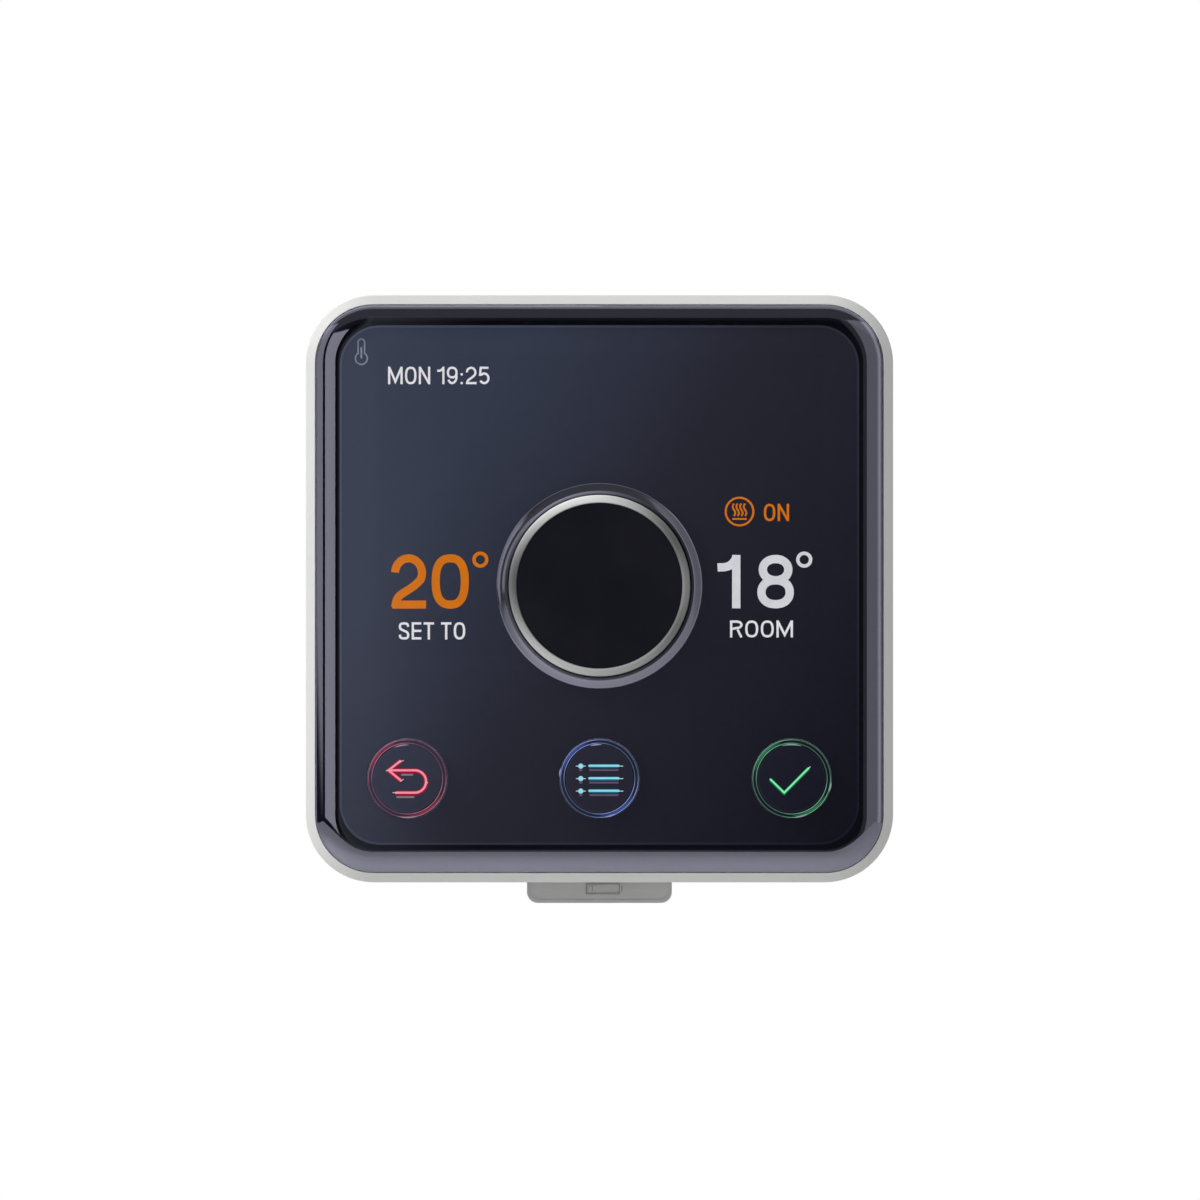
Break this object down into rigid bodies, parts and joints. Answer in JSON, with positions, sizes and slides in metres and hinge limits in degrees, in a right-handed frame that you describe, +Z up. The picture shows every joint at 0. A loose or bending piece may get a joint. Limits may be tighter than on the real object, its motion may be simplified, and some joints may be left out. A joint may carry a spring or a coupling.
{
  "type": "wall thermostat",
  "caption": "Square wall thermostat with a dark gloss window, a turning and pressing dial, round lit buttons and a battery tray that slides out underneath.",
  "frame": {"origin": "on the wall plane, at the middle of the wall plate's flat back face, behind the middle of the square case", "axes": "+Z up, front faces -Y, +Y into the wall, +X to the right of somebody who faces the front"},
  "size_m": [0.099, 0.03, 0.1029],
  "materials": {
    "wall_plate_plastic": "moulded satin white",
    "housing_plastic": "fine-textured off-white",
    "trim_paint": "satin pale grey",
    "window_acrylic": "polished, smoke tinted",
    "gasket_foam": "matt black",
    "mirror_film": "dark half-mirror",
    "chassis_plastic": "matt black",
    "board_laminate": "green solder mask",
    "steel": "zinc plated",
    "display_glass": "black, polished",
    "backlight_plastic": "white diffuser",
    "flex_film": "amber polyimide",
    "black_moulding": "matt black",
    "capacitor_can": "satin",
    "spring_contact": "nickel plated",
    "collar_gloss": "polished",
    "knob_plastic": "satin black",
    "dial_ring_metal": "satin turned",
    "dial_cap_gloss": "polished black",
    "button_gloss": "polished, smoke tinted",
    "light_ring_clear": "clear light guide",
    "lamp_lens": "clear lens",
    "tray_plastic": "satin grey",
    "tab_plastic": "satin mid grey",
    "cell_jacket": "printed sleeve, plain"
  },
  "bodies": {
    "wall_plate": {"wall_plate": "wall_plate_plastic"},
    "case": {"rear_housing": "housing_plastic", "trim_frame": "trim_paint", "front_lens": "window_acrylic", "lens_gasket": "gasket_foam", "mirror_film": "mirror_film", "chassis": "chassis_plastic", "main_board": "board_laminate", "display_holder": "chassis_plastic", "chassis_screws": "steel", "board_screws": "steel", "left_backlight": "backlight_plastic", "right_backlight": "backlight_plastic", "left_display": "display_glass", "right_display": "display_glass", "display_connectors": "black_moulding", "display_tails": "flex_film", "processor": "black_moulding", "memory_chip": "black_moulding", "voltage_coil": "black_moulding", "radio_board": "board_laminate", "radio_can": "steel", "temperature_sensor": "black_moulding", "capacitors": "capacitor_can", "bay_contacts": "spring_contact", "dial_collar": "collar_gloss", "encoder_body": "black_moulding", "back_light_ring": "light_ring_clear", "back_lamps": "lamp_lens", "back_switch": "black_moulding", "menu_light_ring": "light_ring_clear", "menu_lamps": "lamp_lens", "menu_switch": "black_moulding", "confirm_light_ring": "light_ring_clear", "confirm_lamps": "lamp_lens", "confirm_switch": "black_moulding"},
    "dial_plunger": {"encoder_plunger": "black_moulding"},
    "dial": {"encoder_shaft": "steel", "dial_knob": "knob_plastic", "dial_ring": "dial_ring_metal", "dial_cap": "dial_cap_gloss"},
    "back_key": {"back_button": "button_gloss", "back_switch_stem": "black_moulding"},
    "menu_key": {"menu_button": "button_gloss", "menu_switch_stem": "black_moulding"},
    "confirm_key": {"confirm_button": "button_gloss", "confirm_switch_stem": "black_moulding"},
    "battery_drawer": {"battery_tray": "tray_plastic", "battery_tab": "tab_plastic", "battery_1": "cell_jacket", "battery_2": "cell_jacket", "battery_3": "cell_jacket", "battery_4": "cell_jacket", "contact_plates": "spring_contact", "leaf_springs": "spring_contact", "outlet_contacts": "spring_contact"}
  },
  "joints": [
    {"name": "case_lift", "type": "slide", "parent": "wall_plate", "child": "case", "axis": [0, 0, 1], "range_m": [0, 0.005]},
    {"name": "dial_press", "type": "slide", "parent": "case", "child": "dial_plunger", "axis": [0, 1, 0], "range_m": [0, 0.0006], "stiffness_N_per_m": 5000, "springref_m": -0.0003},
    {"name": "dial_turn", "type": "hinge", "parent": "dial_plunger", "child": "dial", "pos_m": [0, -0.028, 0.0005], "axis": [0, 1, 0], "continuous": true},
    {"name": "tray_pull", "type": "slide", "parent": "case", "child": "battery_drawer", "axis": [0, 0, -1], "range_m": [0, 0.058]},
    {"name": "back_press", "type": "slide", "parent": "case", "child": "back_key", "axis": [0, 1, 0], "range_m": [0, 0.0005], "stiffness_N_per_m": 3000, "springref_m": -0.0004},
    {"name": "menu_press", "type": "slide", "parent": "case", "child": "menu_key", "axis": [0, 1, 0], "range_m": [0, 0.0005], "stiffness_N_per_m": 3000, "springref_m": -0.0004},
    {"name": "confirm_press", "type": "slide", "parent": "case", "child": "confirm_key", "axis": [0, 1, 0], "range_m": [0, 0.0005], "stiffness_N_per_m": 3000, "springref_m": -0.0004}
  ]
}
